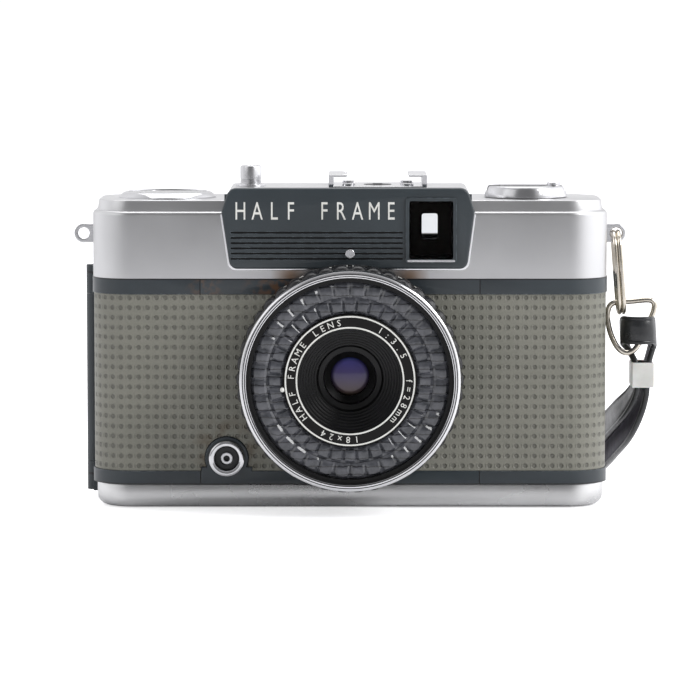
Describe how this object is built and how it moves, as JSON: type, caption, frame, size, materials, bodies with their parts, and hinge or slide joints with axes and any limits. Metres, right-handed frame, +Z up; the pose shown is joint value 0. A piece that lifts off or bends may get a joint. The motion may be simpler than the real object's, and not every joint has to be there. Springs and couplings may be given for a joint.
{
  "type": "half frame camera",
  "caption": "Small film camera with a light cell round its lens, a hinged back, thumb-wheel film advance, fold-out rewind crank, accessory shoe and wrist strap.",
  "frame": {"origin": "mouth of the tripod socket, in the plane of the base", "axes": "+Z up, -Y out of the lens, +X to the right as seen from the front"},
  "size_m": [0.1251, 0.1253, 0.072],
  "materials": {
    "satin_chrome": "satin",
    "bright_chrome": "polished",
    "base_metal": "satin",
    "steel": "brushed",
    "nickel": "polished",
    "slate_enamel": "satin",
    "black_enamel": "satin",
    "leatherette": "embossed",
    "strap_leather": "grained",
    "black_plastic": "matte",
    "white_plastic": "matte",
    "red_plastic": "gloss",
    "clear_glass": "polished",
    "clear_plastic": "moulded",
    "selenium": "dark metallic",
    "foam": "foam"
  },
  "bodies": {
    "camera_body": {"body_casting": "slate_enamel", "front_plate": "slate_enamel", "front_covering": "leatherette", "top_cover": "satin_chrome", "front_panel": "slate_enamel", "index_stud": "bright_chrome", "base_cover": "base_metal", "tripod_socket": "bright_chrome", "screws": "steel", "strap_lugs": "bright_chrome", "hinge_bracket": "slate_enamel", "hinge_pin": "steel", "light_seals": "foam", "hot_shoe": "satin_chrome", "shoe_contact": "black_plastic", "counter_bezel": "satin_chrome", "counter_window": "clear_plastic", "button_collar": "satin_chrome", "button_spring": "steel", "finder_housing": "black_plastic", "finder_lenses": "clear_glass", "eyepiece_frame": "black_plastic", "meter_movement": "black_plastic", "lens_barrel": "black_enamel", "front_rim": "bright_chrome", "selenium_cell": "selenium", "selenium_window": "clear_plastic", "lens_hood": "black_enamel", "name_ring": "black_enamel", "front_element": "clear_glass", "rear_elements": "clear_glass", "lens_cells": "black_enamel", "shutter_plates": "steel", "flash_socket": "bright_chrome", "split_ring": "nickel", "strap_ring": "nickel", "strap_keeper": "white_plastic", "wrist_strap": "strap_leather"},
    "shutter_button": {"shutter_button": "satin_chrome"},
    "advance_wheel": {"advance_wheel": "black_plastic"},
    "takeup_spool": {"takeup_spool": "black_plastic"},
    "sprocket": {"sprocket": "steel"},
    "counter_dial": {"counter_dial": "black_plastic"},
    "rewind_sleeve": {"rewind_sleeve": "steel"},
    "rewind_knob": {"rewind_knob": "satin_chrome"},
    "rewind_crank": {"rewind_crank": "satin_chrome"},
    "crank_grip": {"crank_grip": "satin_chrome"},
    "back_door": {"back_door": "slate_enamel", "door_covering": "leatherette", "pressure_plate": "black_enamel"},
    "door_latch": {"door_latch": "bright_chrome"},
    "rewind_release": {"rewind_release": "bright_chrome"},
    "aperture_ring": {"aperture_ring": "black_enamel"},
    "film_speed_ring": {"film_speed_ring": "black_enamel"},
    "shutter_blade_a": {"shutter_blade_a": "black_enamel"},
    "shutter_blade_b": {"shutter_blade_b": "black_enamel"},
    "aperture_blade_a": {"aperture_blade_a": "black_enamel"},
    "aperture_blade_b": {"aperture_blade_b": "black_enamel"},
    "meter_needle": {"meter_needle": "black_enamel"},
    "low_light_flag": {"low_light_flag": "red_plastic"}
  },
  "joints": [
    {"name": "button_press", "type": "slide", "parent": "camera_body", "child": "shutter_button", "axis": [0, 0, -1], "range_m": [0, 0.0018], "stiffness_N_per_m": 300, "springref_m": -0.0015, "deforming": ["button_spring"]},
    {"name": "film_advance", "type": "hinge", "parent": "camera_body", "child": "advance_wheel", "pos_m": [-0.0365, 0.00345, 0.0524], "axis": [0, 0, 1], "continuous": true},
    {"name": "spool_turn", "type": "hinge", "parent": "camera_body", "child": "takeup_spool", "pos_m": [-0.0365, 0.00345, 0.025], "axis": [0, 0, 1], "continuous": true},
    {"name": "sprocket_turn", "type": "hinge", "parent": "camera_body", "child": "sprocket", "pos_m": [-0.022, 0.00345, 0.025], "axis": [0, 0, 1], "continuous": true},
    {"name": "counter_turn", "type": "hinge", "parent": "camera_body", "child": "counter_dial", "pos_m": [-0.039, 0, 0.065], "axis": [0, 0, 1], "continuous": true},
    {"name": "rewind_lift", "type": "slide", "parent": "camera_body", "child": "rewind_sleeve", "axis": [0, 0, 1], "range_m": [0, 0.008]},
    {"name": "rewind_turn", "type": "hinge", "parent": "rewind_sleeve", "child": "rewind_knob", "pos_m": [0.0376, 0.0003, 0.066], "axis": [0, 0, 1], "continuous": true},
    {"name": "crank_fold", "type": "hinge", "parent": "rewind_knob", "child": "rewind_crank", "pos_m": [0.0321, 0.0003, 0.0671], "axis": [0, -1, 0], "range_deg": [0, 135]},
    {"name": "grip_turn", "type": "hinge", "parent": "rewind_crank", "child": "crank_grip", "pos_m": [0.0436, 0.0003, 0.0675], "axis": [0, 0, 1], "continuous": true},
    {"name": "door_open", "type": "hinge", "parent": "camera_body", "child": "back_door", "pos_m": [-0.0554, 0.0056, 0.026], "axis": [0, 0, 1], "range_deg": [0, 110]},
    {"name": "latch_slide", "type": "slide", "parent": "back_door", "child": "door_latch", "axis": [0, 0, 1], "range_m": [0, 0.0025], "stiffness_N_per_m": 150, "springref_m": -0.002},
    {"name": "release_press", "type": "slide", "parent": "camera_body", "child": "rewind_release", "axis": [0, 0, 1], "range_m": [0, 0.0009], "stiffness_N_per_m": 150, "springref_m": -0.001},
    {"name": "aperture_turn", "type": "hinge", "parent": "camera_body", "child": "aperture_ring", "pos_m": [0, -0.022, 0.0286], "axis": [0, -1, 0], "range_deg": [0, 160]},
    {"name": "film_speed_turn", "type": "hinge", "parent": "camera_body", "child": "film_speed_ring", "pos_m": [0, -0.017, 0.0286], "axis": [0, -1, 0], "range_deg": [-60, 60]},
    {"name": "shutter_a_swing", "type": "hinge", "parent": "camera_body", "child": "shutter_blade_a", "pos_m": [-0.009, -0.0154, 0.0226], "axis": [0, -1, 0], "range_deg": [0, 40], "stiffness_Nm_per_rad": 0.0002, "springref_deg": -28.65},
    {"name": "shutter_b_swing", "type": "hinge", "parent": "camera_body", "child": "shutter_blade_b", "pos_m": [0.009, -0.0157, 0.0226], "axis": [0, -1, 0], "range_deg": [-40, 0], "stiffness_Nm_per_rad": 0.0002, "springref_deg": 28.65},
    {"name": "aperture_a_slide", "type": "slide", "parent": "camera_body", "child": "aperture_blade_a", "axis": [1, 0, 0], "range_m": [0, 0.004]},
    {"name": "aperture_b_slide", "type": "slide", "parent": "camera_body", "child": "aperture_blade_b", "axis": [1, 0, 0], "range_m": [-0.004, 0]},
    {"name": "meter_swing", "type": "hinge", "parent": "camera_body", "child": "meter_needle", "pos_m": [-0.001, -0.003, 0.057], "axis": [0, 0, 1], "range_deg": [-30, 30]},
    {"name": "flag_rise", "type": "slide", "parent": "camera_body", "child": "low_light_flag", "axis": [0, 0, 1], "range_m": [0, 0.0065]}
  ],
  "couplings": [
    {"joint": "spool_turn", "follows": "film_advance", "ratio": 1},
    {"joint": "sprocket_turn", "follows": "film_advance", "ratio": -1.32},
    {"joint": "counter_turn", "follows": "film_advance", "ratio": 0.036667},
    {"joint": "shutter_b_swing", "follows": "shutter_a_swing", "ratio": -1},
    {"joint": "aperture_b_slide", "follows": "aperture_a_slide", "ratio": -1}
  ]
}
